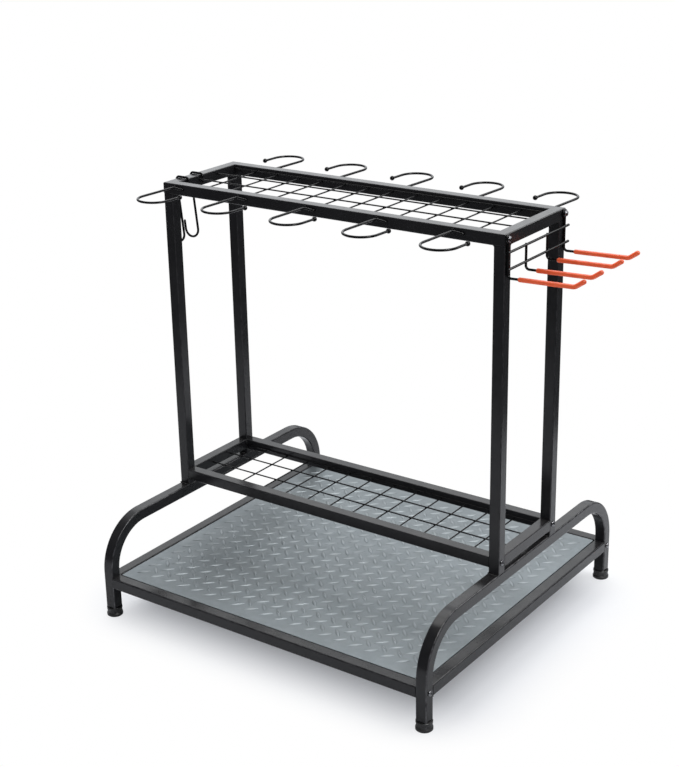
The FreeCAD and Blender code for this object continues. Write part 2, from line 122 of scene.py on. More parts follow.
def spread_out(tree, value, low, high, to_low=0.0, to_high=1.0, soft=False):
    """Maps low..high to to_low..to_high, in a straight line or with soft ends."""
    node = place(tree, "ShaderNodeMapRange",
                 {"Value": value, "From Min": low, "From Max": high, "To Min": to_low, "To Max": to_high},
                 interpolation_type="SMOOTHSTEP" if soft else "LINEAR")
    return node.outputs[0]


def vector(tree, x=0.0, y=0.0, z=0.0):
    return place(tree, "ShaderNodeCombineXYZ", {0: x, 1: y, 2: z}).outputs[0]


def split(tree, value):
    """The X, Y and Z outputs of a vector."""
    return place(tree, "ShaderNodeSeparateXYZ", {0: value}).outputs


def point_place(tree):
    """Where each point of the mesh or curve is now."""
    return split(tree, place(tree, "GeometryNodeInputPosition").outputs[0])


def object_place(tree):
    """Where a shaded spot is on the piece, in metres."""
    return place(tree, "ShaderNodeTexCoord").outputs["Object"]


# %% [markdown]
# ## Growing a mesh from a tree
# A Geometry Nodes tree is a recipe, and a modifier runs it. `grow` hangs the
# recipe on a carrier mesh, sets its named sizes by socket identifier, takes
# the finished mesh and drops the modifier, so that what is left is a plain
# mesh that any program can open.

# %% The grow helper
def carrier_mesh(name, points, edges=()):
    mesh = bpy.data.meshes.new(name)
    mesh.from_pydata([tuple(point) for point in points], list(edges), [])
    return mesh


def grow(tree, name, sizes, carrier=None, sharp=40):
    piece = bpy.data.objects.new(name, carrier or bpy.data.meshes.new(name))
    scene.collection.objects.link(piece)
    modifier = piece.modifiers.new("recipe", "NODES")
    modifier.node_group = tree
    for item in tree.interface.items_tree:
        if item.in_out == "INPUT" and item.name in sizes:
            modifier[item.identifier] = sizes[item.name]
    ready = piece.evaluated_get(bpy.context.evaluated_depsgraph_get())
    mesh = bpy.data.meshes.new_from_object(ready)
    piece.modifiers.clear()
    piece.data = mesh
    mesh.name = name
    mesh.shade_smooth()
    mesh.set_sharp_from_angle(angle=math.radians(sharp))
    return piece


def finish_tree(tree, out, geometry, material):
    """Every recipe ends in real geometry with a material on it."""
    real = place(tree, "GeometryNodeRealizeInstances", {0: geometry})
    painted = place(tree, "GeometryNodeSetMaterial", {0: real.outputs[0], "Material": material})
    tree.links.new(painted.outputs[0], out.inputs[0])


def joined(tree, *parts):
    node = tree.nodes.new("GeometryNodeJoinGeometry")
    for part in parts:
        tree.links.new(part, node.inputs[0])
    return node.outputs[0]


GEOMETRY = ("Geometry", "NodeSocketGeometry", None)
MADE = [("Geometry", "NodeSocketGeometry")]


def recipe_tree(name, inputs):
    """A Geometry Nodes tree. The kind of each input follows from its first value."""
    kinds = {float: "NodeSocketFloat", int: "NodeSocketInt", tuple: "NodeSocketVector"}
    named = [(label, kinds.get(type(value), "NodeSocketObject"), value) for label, value in inputs.items()]
    return open_tree(name, "GeometryNodeTree", [GEOMETRY] + named, MADE)


# %% [markdown]
# ## Effects that several finishes share
# Real surfaces are never one flat value. Four small shader groups give the
# variation that all the finishes below use: a soft mottle, the orange-peel
# relief of sprayed powder, a lighter line on a tube's corners, which is partly
# thin paint and partly a painted highlight, and the dust that lies on anything
# facing up. Each gives only a value or a normal, and each reads Object
# coordinates in metres, so it keeps its real scale.

# %% Shader group: mottle
def shader_group(name, inputs, output):
    named = [(label, "NodeSocketFloat", value) for label, value in inputs.items()]
    return open_tree(name, "ShaderNodeTree", named, [output])


def cloudy(tree, scale, detail, roughness=0.5):
    """Fractal noise over the piece, most of it between 0.3 and 0.7."""
    return place(tree, "ShaderNodeTexNoise", {"Vector": object_place(tree), "Scale": scale,
                                              "Detail": detail, "Roughness": roughness}).outputs[0]


mottle, gin, gout = shader_group(
    "soft_mottle", {"Scale": 20.0, "Low": 0.0, "High": 1.0}, ("Value", "NodeSocketFloat"))
mapped = spread_out(mottle, cloudy(mottle, gin["Scale"], 4.0, 0.6), 0.3, 0.7, gin["Low"], gin["High"])
mottle.links.new(mapped, gout.inputs[0])

# %% Shader group: orange peel
peel, gin, gout = shader_group(
    "orange_peel", {"Scale": 500.0, "Depth": 0.00004, "Strength": 0.3}, ("Normal", "NodeSocketVector"))
bumps = cloudy(peel, gin["Scale"], 2.0)
relief = place(peel, "ShaderNodeBump",
               {"Height": bumps, "Distance": gin["Depth"], "Strength": gin["Strength"]})
peel.links.new(relief.outputs[0], gout.inputs[0])

# %% [markdown]
# A tube's corner is where its normal leans between two axes, so the mask is
# the product of two squared components of the normal. On the bent legs the
# flat sides turn between Y and Z as well, and only the lean towards X marks
# their corners. The two share inputs say which lean counts. What the mask
# lightens is partly thinner paint and partly a painted highlight, the line of
# light along a corner.

# %% Shader group: thin paint and painted highlight on corners
corner, gin, gout = shader_group(
    "corner_wear_and_highlight", {"X Share": 1.0, "Y Share": 1.0, "Scale": 90.0, "Amount": 0.5},
    ("Mask", "NodeSocketFloat"))
calc = sums(corner, "ShaderNodeMath")
facing = split(corner, place(corner, "ShaderNodeNewGeometry").outputs["True Normal"])
leans = []
for axis, share in ((0, "X Share"), (1, "Y Share")):
    square = calc("POWER", calc("ABSOLUTE", facing[axis]), 2.0)
    leans.append(calc("MULTIPLY", calc("MULTIPLY", square, calc("SUBTRACT", 1.0, square)), gin[share]))
lean = calc("MULTIPLY", calc("MAXIMUM", leans[0], leans[1]), 4.0, clamp=True)
patchy = spread_out(corner, cloudy(corner, gin["Scale"], 5.0), 0.35, 0.65)
# The corner mask is partly thinner paint and partly a painted highlight.
worn_and_lit = calc("MULTIPLY", calc("MULTIPLY", lean, patchy), gin["Amount"], clamp=True)
corner.links.new(worn_and_lit, gout.inputs[0])

# %% Shader group: settled dust
dust, gin, gout = shader_group("settled_dust", {"Scale": 35.0, "Amount": 0.2}, ("Mask", "NodeSocketFloat"))
calc = sums(dust, "ShaderNodeMath")
facing = split(dust, place(dust, "ShaderNodeNewGeometry").outputs["Normal"])
upward = spread_out(dust, facing[2], 0.5, 1.0)
drift = spread_out(dust, cloudy(dust, gin["Scale"], 6.0, 0.65), 0.35, 0.75)
laid = calc("MULTIPLY", calc("MULTIPLY", upward, drift), gin["Amount"], clamp=True)
dust.links.new(laid, gout.inputs[0])
print("shader groups:", [group.name for group in bpy.data.node_groups])

# %% [markdown]
# ## Finishes
# Each finish is a Principled shader whose constants sit on its own sockets.
# The groups above only steer its colour, roughness and normal.

# %% Finish helpers
def use(tree, group, inputs):
    """Places a shared group in a material, with that material's own values."""
    node = tree.nodes.new("ShaderNodeGroup")
    node.node_tree = group
    for key, value in inputs.items():
        node.inputs[key].default_value = value
    return node.outputs[0]


def new_finish(name, **constants):
    """A material with a Principled shader, as (material, tree, shader)."""
    material = bpy.data.materials.new(name)
    material.use_nodes = True
    tree = material.node_tree
    shader = tree.nodes["Principled BSDF"]
    for label, value in constants.items():
        shader.inputs[label.replace("_", " ").title().replace("Ior", "IOR")].default_value = value
    return material, tree, shader


def mix_colour(tree, factor, first, second):
    node = place(tree, "ShaderNodeMix", {"Factor": factor}, data_type="RGBA")
    for socket, value in ((node.inputs[6], first), (node.inputs[7], second)):
        if isinstance(value, bpy.types.NodeSocket):
            tree.links.new(value, socket)
        else:
            socket.default_value = (*value, 1.0)
    return node.outputs[2]


def mottled(tree, scale, low=0.0, high=1.0):
    return use(tree, mottle, {"Scale": scale, "Low": low, "High": high})


def feed(tree, shader, colour, roughness, normal):
    """Links the three sockets that change over a surface."""
    for label, output in (("Base Color", colour), ("Roughness", roughness), ("Normal", normal)):
        tree.links.new(output, shader.inputs[label])


# %% [markdown]
# ### Black powder coat
# Powder coat is baked plastic on steel: nearly black, half gloss, with a fine
# orange peel. Its corners are made a little greyer, partly for the thinner
# coat there and partly as a painted highlight, most of all on the bent legs,
# and a trace of dust shows on the faces that point up. Low numbers for the
# gloss mean a shinier coat.

# %% Powder coat for straight and bent tube
DEEP_BLACK, BLACK = (0.012375, 0.012375, 0.013875), (0.0165, 0.0165, 0.0185)
# The lighter corner colour is partly thinner paint and partly a painted highlight.
THIN_PAINT_AND_HIGHLIGHT, DUST_ON_BLACK = (0.13, 0.13, 0.14), (0.24, 0.23, 0.22)


def powder_coat(name, x_share, y_share, gloss=(0.18, 0.26), thin_and_highlight=0.25):
    material, tree, shader = new_finish(name, metallic=0.0, specular_ior_level=0.27)
    tone = mix_colour(tree, mottled(tree, 14.0), DEEP_BLACK, BLACK)
    # Corners: partly a thinner coat, partly a painted highlight.
    worn_and_lit_edge = use(tree, corner, {"X Share": x_share, "Y Share": y_share, "Amount": thin_and_highlight})
    tone = mix_colour(tree, worn_and_lit_edge, tone, THIN_PAINT_AND_HIGHLIGHT)
    tone = mix_colour(tree, use(tree, dust, {"Scale": 30.0, "Amount": 0.10}), tone, DUST_ON_BLACK)
    feed(tree, shader, tone, mottled(tree, 45.0, *gloss),
         use(tree, peel, {"Scale": 320.0, "Depth": 0.00016, "Strength": 0.4}))
    return material


straight_coat = powder_coat("powder_coat_straight_tube", 1.0, 1.0)
# The bent legs get the strongest painted highlight on their corners.
bent_coat = powder_coat("powder_coat_bent_tube", 1.0, 0.0, gloss=(0.16, 0.22), thin_and_highlight=0.8)
weld_coat = powder_coat("powder_coat_over_weld", 0.0, 0.0, gloss=(0.30, 0.42))

# %% [markdown]
# ### Glossy black wire
# The wires are dipped rather than sprayed, so they are glossier and darker
# than the tube, without orange peel.

# %% Wire coat
wire_coat, tree, shader = new_finish("wire_coat", metallic=0.0, specular_ior_level=0.15)
tone = mix_colour(tree, mottled(tree, 60.0), (0.004, 0.004, 0.0045), (0.009, 0.009, 0.010))
tone = mix_colour(tree, use(tree, dust, {"Scale": 60.0, "Amount": 0.05}), tone, DUST_ON_BLACK)
feed(tree, shader, tone, mottled(tree, 120.0, 0.10, 0.18),
     use(tree, peel, {"Scale": 260.0, "Depth": 0.00002, "Strength": 0.2}))

# %% [markdown]
# ### Galvanised tread plate
# The plate is zinc-coated steel. Zinc freezes in crystals a few millimetres
# wide, the spangle, each with its own shade of blue-grey, which a Voronoi
# texture gives, and a little noise frays their edges. Large soft stains lie
# over them. The crests of the lugs are rubbed brighter and smoother: a mask
# on the height above the plate finds them.

# %% Tread plate: colour
DULL_ZINC, CLEAR_ZINC, STAINED_ZINC = (0.186, 0.209, 0.220), (0.240, 0.264, 0.277), (0.155, 0.174, 0.182)
RUBBED_ZINC, DUST_ON_ZINC = (0.30, 0.325, 0.335), (0.30, 0.29, 0.27)
tread_plate, tree, shader = new_finish("tread_plate", metallic=1.0)
calc = sums(tree, "ShaderNodeMath")
spot = object_place(tree)
warp = place(tree, "ShaderNodeTexNoise", {"Vector": spot, "Scale": 160.0, "Detail": 3.0})
frayed = place(tree, "ShaderNodeVectorMath",
               {0: warp.outputs["Color"], 1: (0.004, 0.004, 0.004)}, operation="MULTIPLY")
moved = place(tree, "ShaderNodeVectorMath", {0: spot, 1: frayed.outputs[0]}, operation="ADD")
spangle = place(tree, "ShaderNodeTexVoronoi", {"Vector": moved.outputs[0], "Scale": 110.0})
shade = place(tree, "ShaderNodeSeparateColor", {0: spangle.outputs["Color"]})
tone = mix_colour(tree, spread_out(tree, shade.outputs[0], 0.0, 1.0, 0.25, 0.75), DULL_ZINC, CLEAR_ZINC)
tone = mix_colour(tree, mottled(tree, 7.0, 0.0, 0.5), tone, STAINED_ZINC)
crest = spread_out(tree, split(tree, spot)[2], plate_high.z + 0.45 * MM, plate_high.z + 1.2 * MM)
tone = mix_colour(tree, calc("MULTIPLY", crest, 0.5), tone, RUBBED_ZINC)
tone = mix_colour(tree, use(tree, dust, {"Scale": 22.0, "Amount": 0.08}), tone, DUST_ON_ZINC)

# %% Tread plate: satin and grain
satin = calc("SUBTRACT", mottled(tree, 30.0, 0.42, 0.54), calc("MULTIPLY", crest, 0.20))
grain = cloudy(tree, 900.0, 2.0)
height = calc("ADD", calc("MULTIPLY", grain, 0.5), calc("MULTIPLY", shade.outputs[1], 0.5))
relief = place(tree, "ShaderNodeBump", {"Height": height, "Distance": 0.00006, "Strength": 0.35})
feed(tree, shader, tone, satin, relief.outputs[0])

# %% [markdown]
# ### Dipped vinyl, moulded feet and metal fittings
# The sleeves are soft plastisol, an even coral orange with a wet shine. The
# feet are moulded plastic with a fine matt grain. The screws are black zinc
# over steel, so their recesses catch the light.

# %% Vinyl
CORAL, LIGHT_CORAL, DUST_ON_CORAL = (0.93, 0.115, 0.035), (0.97, 0.150, 0.050), (0.75, 0.42, 0.32)
vinyl, tree, shader = new_finish("dipped_vinyl", metallic=0.0, specular_ior_level=0.35,
                                 coat_weight=0.12, coat_roughness=0.12)
tone = mix_colour(tree, mottled(tree, 55.0), CORAL, LIGHT_CORAL)
tone = mix_colour(tree, use(tree, dust, {"Scale": 70.0, "Amount": 0.06}), tone, DUST_ON_CORAL)
feed(tree, shader, tone, mottled(tree, 90.0, 0.28, 0.40),
     use(tree, peel, {"Scale": 180.0, "Depth": 0.00004, "Strength": 0.25}))


# %% Moulded plastic and black zinc
def plain_finish(name, dark, light, roughness, grain, depth, metallic):
    """One colour in two shades, with a fine grain of a given depth."""
    material, tree, shader = new_finish(name, metallic=metallic)
    feed(tree, shader, mix_colour(tree, mottled(tree, 80.0), dark, light), mottled(tree, 150.0, *roughness),
         use(tree, peel, {"Scale": grain, "Depth": depth, "Strength": 0.4}))
    return material


foot_plastic = plain_finish("foot_plastic", (0.012, 0.012, 0.013), (0.022, 0.022, 0.023), (0.38, 0.50),
                            grain=1400.0, depth=0.00003, metallic=0.0)
plug_plastic = plain_finish("plug_plastic", (0.035, 0.035, 0.035), (0.055, 0.055, 0.055), (0.50, 0.60),
                            grain=900.0, depth=0.00003, metallic=0.0)
black_zinc = plain_finish("black_zinc", (0.13, 0.13, 0.14), (0.24, 0.24, 0.25), (0.16, 0.26),
                          grain=700.0, depth=0.00001, metallic=1.0)
bright_zinc = plain_finish("bright_zinc", (0.50, 0.50, 0.50), (0.62, 0.62, 0.60), (0.30, 0.42),
                           grain=700.0, depth=0.00001, metallic=1.0)

# %% Give every CAD node its finish
finishes = {"frame_paint": straight_coat, "wire_paint": wire_coat, "tread_plate": tread_plate,
            "orange_vinyl": vinyl, "foot_plastic": foot_plastic, "screw_steel": black_zinc,
            "plug_plastic": plug_plastic, "insert_steel": bright_zinc}
for name, node in nodes.items():
    for slot in node.material_slots:
        slot.material = bent_coat if name.endswith("_arch") else finishes[slot.material.name.split(".")[0]]
print("finishes:", sorted(material.name for material in finishes.values()))

# %% [markdown]
# ## Lugs of the tread plate
# The plate carries two families of raised lugs, turned 45 degrees each way,
# on the same 30 mm square grid with the second family in the middles of the
# first. A lug is a small grid whose points are pushed up by a rule: its half
# width and its height both fall to nothing at its two tips. Two grids of
# points carry the copies, and a rim round the plate stays bare. The edge of
# each lug is sunk a little into the plate, which hides the seam.

# %% Recipe: one lug
tread, gin, gout = recipe_tree("tread_lugs", {
    "Plate Length": 0.6, "Plate Depth": 0.5, "Pitch": 0.03, "Lug Length": 0.021, "Lug Width": 0.005,
    "Lug Height": 0.0009, "Centre": (0, 0, 0)})
calc = sums(tread, "ShaderNodeMath")
SUNK = 0.08 * MM
patch = place(tread, "GeometryNodeMeshGrid",
              {"Size X": 2.0, "Size Y": 2.0, "Vertices X": 11, "Vertices Y": 5})
along, across = point_place(tread)[:2]
taper = calc("SUBTRACT", 1.0, calc("POWER", calc("ABSOLUTE", along), 2.0))
crown = calc("SUBTRACT", 1.0, calc("POWER", calc("ABSOLUTE", across), 2.0))
rise = calc("MULTIPLY", calc("MULTIPLY", calc("POWER", taper, 0.5), crown), gin["Lug Height"])
shaped = vector(tread, calc("MULTIPLY", along, calc("MULTIPLY", gin["Lug Length"], 0.5)),
                calc("MULTIPLY", calc("MULTIPLY", across, taper), calc("MULTIPLY", gin["Lug Width"], 0.5)),
                calc("SUBTRACT", rise, SUNK))
lug = place(tread, "GeometryNodeSetPosition", {"Geometry": patch.outputs[0], "Position": shaped})
lug = place(tread, "GeometryNodeMergeByDistance", {"Geometry": lug.outputs[0], "Distance": 0.00001})

# %% Recipe: both families of lugs over the plate
families = []
for turn, shift in ((45, 0), (-45, 1)):
    counts = [calc("SUBTRACT", calc("FLOOR", calc("DIVIDE", gin[side], gin["Pitch"])), float(shift))
              for side in ("Plate Length", "Plate Depth")]
    spans = [calc("MULTIPLY", calc("SUBTRACT", count, 1.0), gin["Pitch"]) for count in counts]
    field = place(tread, "GeometryNodeMeshGrid",
                  {"Size X": spans[0], "Size Y": spans[1], "Vertices X": counts[0], "Vertices Y": counts[1]})
    copies = place(tread, "GeometryNodeInstanceOnPoints",
                   {"Points": field.outputs[0], "Instance": lug.outputs[0],
                    "Rotation": (0, 0, math.radians(turn))})
    families.append(copies.outputs[0])
laid = place(tread, "GeometryNodeTransform",
             {"Geometry": joined(tread, *families), "Translation": gin["Centre"]})
finish_tree(tread, gout, laid.outputs[0], tread_plate)

# %% Lay the lugs on the plate
RIM = 3 * MM
plate_centre, plate_size = (plate_low + plate_high) / 2, plate_high - plate_low
lugs = grow(tread, "tread_lugs", {
    "Plate Length": plate_size.x - RIM, "Plate Depth": plate_size.y - RIM,
    "Pitch": 30 * MM, "Lug Length": 27 * MM, "Lug Width": 7.5 * MM, "Lug Height": 1.3 * MM,
    "Centre": (plate_centre.x, plate_centre.y, plate_high.z)}, sharp=180)
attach(lugs, "tray_panel")
print("lugs:", len(lugs.data.polygons), "faces")

# %% [markdown]
# ## Welded wire mesh
# Each mesh is a grid of straight wires: the long ones lie on the short ones
# and the crossings are spot welded, which leaves a small flattened nugget.
# More nuggets tie the ends of the wires to the rails. One recipe, with the
# numbers of columns and rows as inputs, makes both meshes.

# %% Recipe: wires and nuggets
grid, gin, gout = recipe_tree("welded_wire_grid", {
    "Length": 0.6, "Depth": 0.15, "Wire": 0.0025, "Columns": 13, "Rows": 3, "Nugget": 0.0015,
    "Seed": 4, "Centre": (0, 0, 0)})
calc = sums(grid, "ShaderNodeMath")
radius = calc("MULTIPLY", gin["Wire"], 0.5)
below = calc("MULTIPLY", radius, -1.0)
row_span = calc("SUBTRACT", gin["Depth"], gin["Wire"])
column_span = calc("MULTIPLY", calc("DIVIDE", gin["Length"], gin["Columns"]),
                   calc("SUBTRACT", gin["Columns"], 2.0))
row_count = calc("ADD", gin["Rows"], 1.0)
column_count = calc("SUBTRACT", gin["Columns"], 1.0)


def wires_in_rows(length, count, span, height, along_x):
    """Straight wires side by side: a row of points, with one long wire on each."""
    bar = place(grid, "GeometryNodeMeshCylinder", {"Vertices": 14, "Radius": radius, "Depth": length})
    quarter = math.pi / 2
    turned = place(grid, "GeometryNodeTransform",
                   {"Geometry": bar.outputs[0], "Rotation": (0, quarter, 0) if along_x else (quarter, 0, 0)})
    counts, spans = ((1, count), (0.0, span)) if along_x else ((count, 1), (span, 0.0))
    line = points_in_grid(counts, spans, height)
    wires = place(grid, "GeometryNodeInstanceOnPoints", {"Points": line, "Instance": turned.outputs[0]})
    return wires.outputs[0]


def points_in_grid(counts, spans, height):
    """Points on a flat grid at a height, also where the grid is a single row."""
    start = [calc("MULTIPLY", span, -0.5) for span in spans]
    steps = [calc("DIVIDE", span, calc("MAXIMUM", calc("SUBTRACT", count, 1.0), 1.0))
             for count, span in zip(counts, spans)]
    points = place(grid, "GeometryNodePoints", {"Count": calc("MULTIPLY", *counts)})
    index = place(grid, "GeometryNodeInputIndex").outputs[0]
    row = calc("FLOOR", calc("DIVIDE", calc("ADD", index, 0.5), counts[0]))
    column = calc("SUBTRACT", index, calc("MULTIPLY", row, counts[0]))
    spot = vector(grid, calc("ADD", start[0], calc("MULTIPLY", column, steps[0])),
                  calc("ADD", start[1], calc("MULTIPLY", row, steps[1])), height)
    moved = place(grid, "GeometryNodeSetPosition", {"Geometry": points.outputs[0], "Position": spot})
    return moved.outputs[0]


# %% Recipe: put the grid together
long_wires = wires_in_rows(gin["Length"], row_count, row_span, radius, True)
short_wires = wires_in_rows(gin["Depth"], column_count, column_span, below, False)
crossings = points_in_grid((column_count, row_count), (column_span, row_span), 0.0)
long_ends = points_in_grid((2, row_count), (gin["Length"], row_span), radius)
short_ends = points_in_grid((column_count, 2), (column_span, gin["Depth"]), below)
blob = place(grid, "GeometryNodeMeshIcoSphere", {"Radius": gin["Nugget"], "Subdivisions": 2})
squash = place(grid, "FunctionNodeRandomValue",
               {"Min": (0.8, 0.8, 0.7), "Max": (1.15, 1.15, 0.95), "Seed": gin["Seed"]},
               data_type="FLOAT_VECTOR")
nuggets = place(grid, "GeometryNodeInstanceOnPoints",
                {"Points": joined(grid, crossings, long_ends, short_ends),
                 "Instance": blob.outputs[0], "Scale": squash.outputs[0]})
everything = joined(grid, long_wires, short_wires, nuggets.outputs[0])
laid = place(grid, "GeometryNodeTransform", {"Geometry": everything, "Translation": gin["Centre"]})
finish_tree(grid, gout, laid.outputs[0], wire_coat)

# %% Both meshes
COLUMN_PITCH = 48 * MM
for node_name in ("top_mesh", "lower_mesh"):
    low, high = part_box(node_name)
    extent = high - low
    wires = grow(grid, node_name + "_wires", {
        "Length": extent.x, "Depth": extent.y, "Wire": extent.z / 2,
        "Columns": round(extent.x / COLUMN_PITCH), "Rows": 3, "Nugget": 1.55 * MM,
        "Seed": 4, "Centre": tuple((low + high) / 2)})
    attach(wires, "rack")
    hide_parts(node_name)
    print(node_name, "now has", len(wires.data.polygons), "faces")

# %% [markdown]
# ## Tool loops
# Ten identical loops plug into the long rails. The wire comes straight out of
# the rail, leans a little from its knee on, runs round half a circle and comes
# straight back, which is a rule with one variable, the length along the wire.
# So the recipe starts with a straight line and moves its points. A ball closes
# the end, a pressed collar meets the rail, and a second peg, which the carrier
# gives as three points, keeps the loop from turning.

# %% Recipe: the wire of a loop
LOOP = {"Peg Length": 12 * MM, "Reach": 76 * MM, "Knee": 8 * MM, "Lean": math.radians(3),
        "Ring Radius": 29 * MM, "Straight End": 27.5 * MM, "Wire": 4 * MM, "Ball": 8 * MM,
        "Collar": 8 * MM, "Collar Thickness": 2 * MM, "Face Gap": 0.3 * MM, "Prong Bend": 3 * MM}
loop_tree, gin, gout = recipe_tree("tool_loop", {**LOOP, "Turn": 0.0, "Centre": (0, 0, 0)})
calc = sums(loop_tree, "ShaderNodeMath")


def swept(path, diameter, sides, **more):
    """A round bar along a path."""
    circle = place(loop_tree, "GeometryNodeCurvePrimitiveCircle",
                   {"Resolution": sides, "Radius": calc("MULTIPLY", gin[diameter], 0.5)})
    return place(loop_tree, "GeometryNodeCurveToMesh",
                 {"Curve": path, "Profile Curve": circle.outputs[0], "Fill Caps": True, **more}).outputs[0]


def minus(value):
    return calc("MULTIPLY", value, -1.0)


def leaned(x, y):
    """Turns what lies past the knee by the lean."""
    past = calc("LESS_THAN", calc("ADD", y, gin["Knee"]), 0.0)
    node = place(loop_tree, "ShaderNodeVectorRotate",
                 {"Vector": vector(loop_tree, x, y), "Center": vector(loop_tree, y=minus(gin["Knee"])),
                  "Angle": minus(calc("MULTIPLY", past, gin["Lean"]))}, rotation_type="Z_AXIS")
    return node.outputs[0]


leg = calc("ADD", gin["Peg Length"], gin["Reach"])
half_ring = calc("MULTIPLY", gin["Ring Radius"], math.pi)
whole = calc("ADD", calc("ADD", leg, half_ring), gin["Straight End"])
line = place(loop_tree, "GeometryNodeCurvePrimitiveLine", {"End": vector(loop_tree, whole)})
fine = place(loop_tree, "GeometryNodeResampleCurve", {"Curve": line.outputs[0], "Count": 110})
gone = point_place(loop_tree)[0]
round_ring = calc("MAXIMUM", calc("SUBTRACT", gone, leg), 0.0)
angle = calc("MINIMUM", calc("DIVIDE", round_ring, gin["Ring Radius"]), math.pi)
beyond = calc("MAXIMUM", calc("SUBTRACT", gone, calc("ADD", leg, half_ring)), 0.0)
across = calc("MULTIPLY", gin["Ring Radius"], calc("SUBTRACT", 1.0, calc("COSINE", angle)))
ahead = calc("ADD", calc("MINIMUM", gone, leg), calc("MULTIPLY", gin["Ring Radius"], calc("SINE", angle)))
level = calc("ADD", calc("SUBTRACT", gin["Peg Length"], ahead), beyond)
bent = place(loop_tree, "GeometryNodeSetPosition",
             {"Geometry": fine.outputs[0], "Position": leaned(across, level)})

# %% Recipe: ball, collar and second peg
ball = place(loop_tree, "GeometryNodeMeshUVSphere",
             {"Segments": 24, "Rings": 14, "Radius": calc("MULTIPLY", gin["Ball"], 0.5)})
wire_end = leaned(calc("MULTIPLY", gin["Ring Radius"], 2.0),
                  calc("SUBTRACT", gin["Straight End"], gin["Reach"]))
ball = place(loop_tree, "GeometryNodeTransform", {"Geometry": ball.outputs[0], "Translation": wire_end})
collar_line = place(loop_tree, "GeometryNodeCurvePrimitiveLine", {
    "Start": vector(loop_tree, y=minus(gin["Face Gap"])),
    "End": vector(loop_tree, y=minus(calc("ADD", gin["Face Gap"], gin["Collar Thickness"])))})
collar_line = place(loop_tree, "GeometryNodeResampleCurve", {"Curve": collar_line.outputs[0], "Count": 13})
progress = place(loop_tree, "GeometryNodeSplineParameter").outputs["Factor"]
off_middle = calc("ABSOLUTE", calc("SUBTRACT", calc("MULTIPLY", progress, 2.0), 1.0))
rounded = calc("SUBTRACT", 1.0, calc("MULTIPLY", calc("POWER", off_middle, 6.0), 0.16))
prong = place(loop_tree, "GeometryNodeMeshToCurve", {0: gin["Geometry"]})
prong = place(loop_tree, "GeometryNodeFilletCurve",
              {"Curve": prong.outputs[0], "Radius": gin["Prong Bend"], "Count": 10}, mode="POLY")
whole_loop = joined(loop_tree, swept(bent.outputs[0], "Wire", 16), swept(prong.outputs[0], "Wire", 16),
                    ball.outputs[0], swept(collar_line.outputs[0], "Collar", 32, Scale=rounded))
laid = place(loop_tree, "GeometryNodeTransform",
             {"Geometry": whole_loop, "Translation": gin["Centre"],
              "Rotation": vector(loop_tree, z=gin["Turn"])})
finish_tree(loop_tree, gout, laid.outputs[0], wire_coat)

# %% Plug in the ten loops
FIRST_HOLE, HOLE_PITCH, HOLE_DEPTH = 25.3 * MM, 137.3 * MM, 5.6 * MM
PRONG_OUT, PRONG_ASIDE, PRONG_DROP = 3.3 * MM, 18 * MM, 2 * MM
prong_points = [(0, -PRONG_OUT, 0), (PRONG_ASIDE, -PRONG_OUT, -PRONG_DROP),
                (PRONG_ASIDE, LOOP["Peg Length"], -PRONG_DROP)]
for row, side in (("front", 1), ("back", -1)):
    for number in range(1, 6):
        node_name = f"loop_{row}_{number}"
        step = number - 1 if side > 0 else 5 - number
        hole_x = rack_x - side * (side_x - FIRST_HOLE - step * HOLE_PITCH)
        loop = grow(loop_tree, node_name + "_wire",
                    {**LOOP, "Turn": 0.0 if side > 0 else math.pi,
                     "Centre": (hole_x, -side * rail_face_y, rack_top - HOLE_DEPTH)},
                    carrier_mesh("prong", prong_points, [(0, 1), (1, 2)]), sharp=50)
        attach(loop, node_name)
        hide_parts(node_name)
print("each loop has", len(loop.data.polygons), "faces")

# %% [markdown]
# ## Dipped sleeves
# A prong that is dipped in vinyl comes out with a thin edge where the dip
# began and a full, round tip where the last drop set. A sleeve is a swept
# circle, so the recipe only has to say how its radius grows and closes along
# the wire.

# %% Recipe: a sleeve
SLEEVE = {"Bend": 12 * MM, "Wire": 4 * MM, "Body": 7.3 * MM, "Tip": 7.58 * MM, "Lip": 3 * MM,
          "Step": 0.6 * MM}
sleeve_tree, gin, gout = recipe_tree("dipped_sleeve", SLEEVE)
calc = sums(sleeve_tree, "ShaderNodeMath")
path = place(sleeve_tree, "GeometryNodeMeshToCurve", {0: gin["Geometry"]})
path = place(sleeve_tree, "GeometryNodeFilletCurve",
             {"Curve": path.outputs[0], "Radius": gin["Bend"], "Count": 16}, mode="POLY")
path = place(sleeve_tree, "GeometryNodeResampleCurve",
             {"Curve": path.outputs[0], "Length": gin["Step"]}, mode="LENGTH")
gone = place(sleeve_tree, "GeometryNodeSplineParameter").outputs["Length"]
left = calc("SUBTRACT", place(sleeve_tree, "GeometryNodeSplineLength").outputs[0], gone)
wire_r, body_r, tip_r = (calc("MULTIPLY", gin[label], 0.5) for label in ("Wire", "Body", "Tip"))
drop = spread_out(sleeve_tree, left, 3 * MM, 12 * MM, tip_r, body_r, soft=True)
before_lip = calc("DIVIDE", calc("SUBTRACT", gin["Lip"], calc("MINIMUM", gone, gin["Lip"])), gin["Lip"])
swell = calc("SQRT", calc("SUBTRACT", 1.0, calc("POWER", before_lip, 2.0)))
lip_r = calc("ADD", wire_r, calc("MULTIPLY", swell, calc("SUBTRACT", drop, wire_r)))
short = calc("SUBTRACT", tip_r, calc("MINIMUM", left, tip_r))
dome_square = calc("SUBTRACT", calc("MULTIPLY", tip_r, tip_r), calc("MULTIPLY", short, short))
dome_r = calc("SQRT", calc("MAXIMUM", dome_square, 0.0))
unit = place(sleeve_tree, "GeometryNodeCurvePrimitiveCircle", {"Resolution": 20, "Radius": 1.0})
skin = place(sleeve_tree, "GeometryNodeCurveToMesh",
             {"Curve": path.outputs[0], "Profile Curve": unit.outputs[0],
              "Scale": calc("MINIMUM", lip_r, dome_r), "Fill Caps": True})
finish_tree(sleeve_tree, gout, skin.outputs[0], vinyl)

